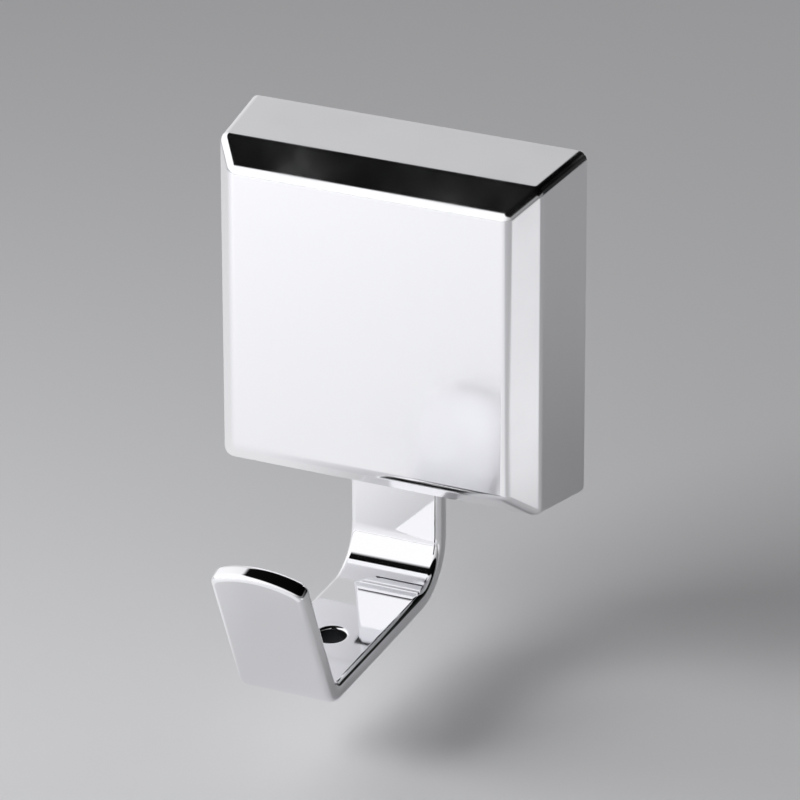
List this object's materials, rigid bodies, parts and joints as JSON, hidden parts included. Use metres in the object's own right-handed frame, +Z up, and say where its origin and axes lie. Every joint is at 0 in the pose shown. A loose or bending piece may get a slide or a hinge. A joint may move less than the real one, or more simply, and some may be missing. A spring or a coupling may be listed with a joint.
{
  "type": "wall hook",
  "caption": "Square chrome wall hook held to smooth tile by a suction cup that a knob draws tight, with a flat J-shaped hook under a bevelled push-on cover.",
  "frame": {"origin": "where the axis of the suction cup meets the wall", "axes": "+Z up, +Y into the wall, the hook's front faces -Y"},
  "size_m": [0.064, 0.0658, 0.0869],
  "materials": {
    "chromed_plastic": "polished",
    "chromed_zinc": "polished",
    "dark_plastic": "satin",
    "clear_rubber": "gloss",
    "stud_steel": "satin",
    "slip_plastic": "satin",
    "grey_plastic": "satin",
    "brass": "satin",
    "screw_steel": "satin"
  },
  "bodies": {
    "base": {"base_plate": "dark_plastic", "hook": "chromed_zinc", "hook_screw_1": "screw_steel", "hook_screw_2": "screw_steel", "hook_screw_3": "screw_steel", "hook_screw_4": "screw_steel", "suction_cup": "clear_rubber", "thrust_washer": "slip_plastic"},
    "cover": {"cover_shell": "chromed_plastic"},
    "knob": {"lock_knob": "grey_plastic", "knob_insert": "brass"},
    "stud": {"cup_stud": "stud_steel"}
  },
  "joints": [
    {"name": "cover_slide", "type": "slide", "parent": "base", "child": "cover", "axis": [0, -1, 0], "range_m": [0, 0.025]},
    {"name": "knob_turn", "type": "hinge", "parent": "base", "child": "knob", "pos_m": [0, -0.016, 0], "axis": [0, -1, 0], "range_deg": [0, 360]},
    {"name": "stud_draw", "type": "slide", "parent": "base", "child": "stud", "axis": [0, 1, 0], "range_m": [0, 0.003], "deforming": ["suction_cup"]}
  ],
  "couplings": [
    {"joint": "stud_draw", "follows": "knob_turn", "m_per_rad": 0.00047746}
  ]
}
